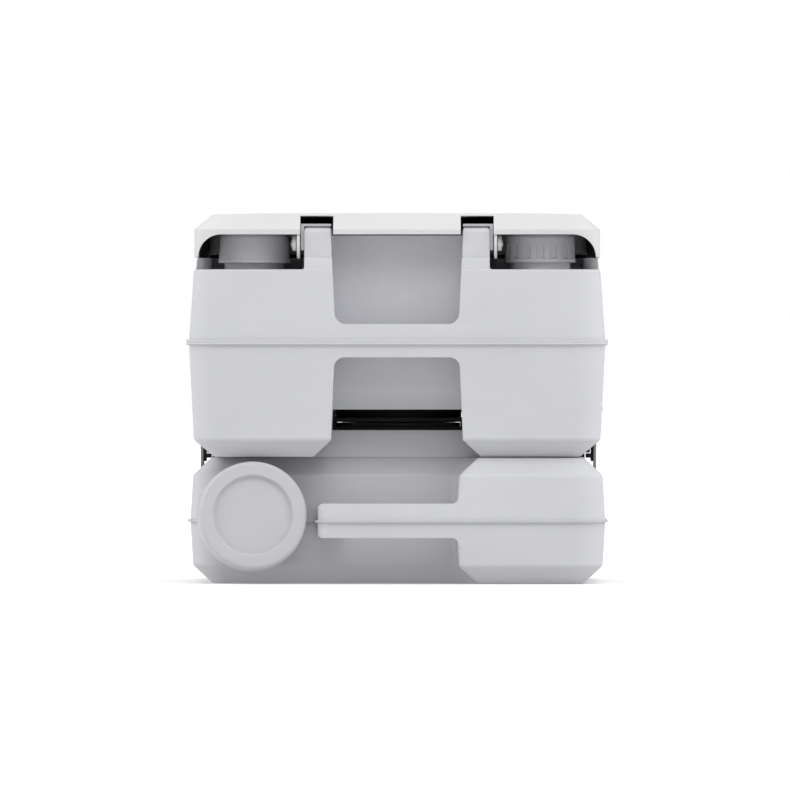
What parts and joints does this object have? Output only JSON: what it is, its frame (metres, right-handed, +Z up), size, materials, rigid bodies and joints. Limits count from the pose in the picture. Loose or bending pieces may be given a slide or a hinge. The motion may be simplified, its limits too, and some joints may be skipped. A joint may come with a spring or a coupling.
{
  "type": "portable camp toilet",
  "caption": "Portable camping toilet: a flush tank with bowl, hinged seat and lid, latched on a waste tank with a carrying handle and screw-capped spout.",
  "frame": {"origin": "on the ground, under the centre of the outline", "axes": "+Z up, front towards -Y, rear with the spout and hinge towards +Y, +X the sitter's left"},
  "size_m": [0.365, 0.415, 0.3214],
  "materials": {
    "tank_plastic": "fine moulded grain",
    "cap_plastic": "satin",
    "lid_plastic": "satin",
    "bowl_plastic": "smooth",
    "rubber": "matt",
    "valve_plastic": "satin",
    "handle_plastic": "satin",
    "hinge_plastic": "satin",
    "black_plastic": "satin",
    "hose": "soft tube",
    "steel": "plated"
  },
  "bodies": {
    "tanks": {"waste_tank_lower_shell": "tank_plastic", "waste_tank_upper_shell": "tank_plastic", "flush_tank_lower_shell": "tank_plastic", "flush_tank_upper_shell": "tank_plastic", "spout_neck": "tank_plastic", "pump_collar": "cap_plastic", "bowl": "bowl_plastic", "flush_nozzle": "bowl_plastic", "spout_neck_seal": "rubber", "valve_lip_seal": "rubber", "bowl_outlet_seal": "rubber", "pump_check_valve": "rubber", "valve_base_plate": "valve_plastic", "valve_top_plate": "valve_plastic", "pump_cylinder": "valve_plastic", "pump_dip_tube": "valve_plastic", "hinge_cover_left": "hinge_plastic", "hinge_cover_right": "hinge_plastic", "latch_catch_left": "black_plastic", "latch_catch_right": "black_plastic", "flush_hose": "hose", "valve_screws": "steel", "pump_collar_screws": "steel", "latch_catch_screws": "steel", "hinge_pin_left": "steel", "hinge_pin_right": "steel", "latch_pin_left": "steel", "latch_pin_right": "steel"},
    "seat": {"seat": "lid_plastic", "seat_bumpers": "rubber"},
    "lid": {"lid": "lid_plastic", "lid_bumpers": "rubber"},
    "pump_knob": {"pump_knob": "cap_plastic", "pump_bellows": "rubber"},
    "fill_gasket": {"fill_cap_gasket": "rubber"},
    "fill_cap": {"fill_cap": "cap_plastic"},
    "spout_gasket": {"spout_cap_gasket": "rubber"},
    "spout_cap": {"spout_cap": "cap_plastic"},
    "valve_slide": {"valve_blade": "valve_plastic", "valve_rod": "valve_plastic", "valve_pull_handle": "handle_plastic"},
    "latch_left": {"latch_lever_left": "handle_plastic", "latch_hook_left": "black_plastic"},
    "latch_right": {"latch_lever_right": "handle_plastic", "latch_hook_right": "black_plastic"}
  },
  "joints": [
    {"name": "seat_hinge", "type": "hinge", "parent": "tanks", "child": "seat", "pos_m": [0, 0.188, 0.295], "axis": [-1, 0, 0], "range_deg": [0, 95]},
    {"name": "lid_hinge", "type": "hinge", "parent": "seat", "child": "lid", "pos_m": [0, 0.188, 0.295], "axis": [1, 0, 0], "range_deg": [-100, 0]},
    {"name": "pump_stroke", "type": "slide", "parent": "tanks", "child": "pump_knob", "axis": [0, 0, -1], "range_m": [0, 0.014], "stiffness_N_per_m": 900, "springref_m": -0.004, "deforming": ["pump_bellows"]},
    {"name": "fill_cap_lift", "type": "slide", "parent": "tanks", "child": "fill_gasket", "axis": [0, 0, 1], "range_m": [0, 0.006]},
    {"name": "fill_cap_turn", "type": "hinge", "parent": "fill_gasket", "child": "fill_cap", "pos_m": [-0.124, 0.15, 0.29], "axis": [0, 0, 1], "range_deg": [0, 720]},
    {"name": "spout_cap_lift", "type": "slide", "parent": "tanks", "child": "spout_gasket", "axis": [-0.0593, 0.9965, 0.0592], "range_m": [0, 0.012]},
    {"name": "spout_cap_turn", "type": "hinge", "parent": "spout_gasket", "child": "spout_cap", "pos_m": [0.1274, 0.147, 0.0567], "axis": [-0.0593, 0.9965, 0.0592], "range_deg": [0, 720]},
    {"name": "valve_slide", "type": "slide", "parent": "tanks", "child": "valve_slide", "axis": [0, -1, 0], "range_m": [0, 0.1]},
    {"name": "latch_left_swing", "type": "hinge", "parent": "tanks", "child": "latch_left", "pos_m": [0.174, 0, 0.1515], "axis": [0, -1, 0], "range_deg": [0, 70]},
    {"name": "latch_right_swing", "type": "hinge", "parent": "tanks", "child": "latch_right", "pos_m": [-0.174, 0, 0.1515], "axis": [0, 1, 0], "range_deg": [0, 70]}
  ],
  "couplings": [
    {"joint": "fill_cap_turn", "follows": "fill_cap_lift", "rad_per_m": 2094.4},
    {"joint": "spout_cap_turn", "follows": "spout_cap_lift", "rad_per_m": 1047.2}
  ]
}
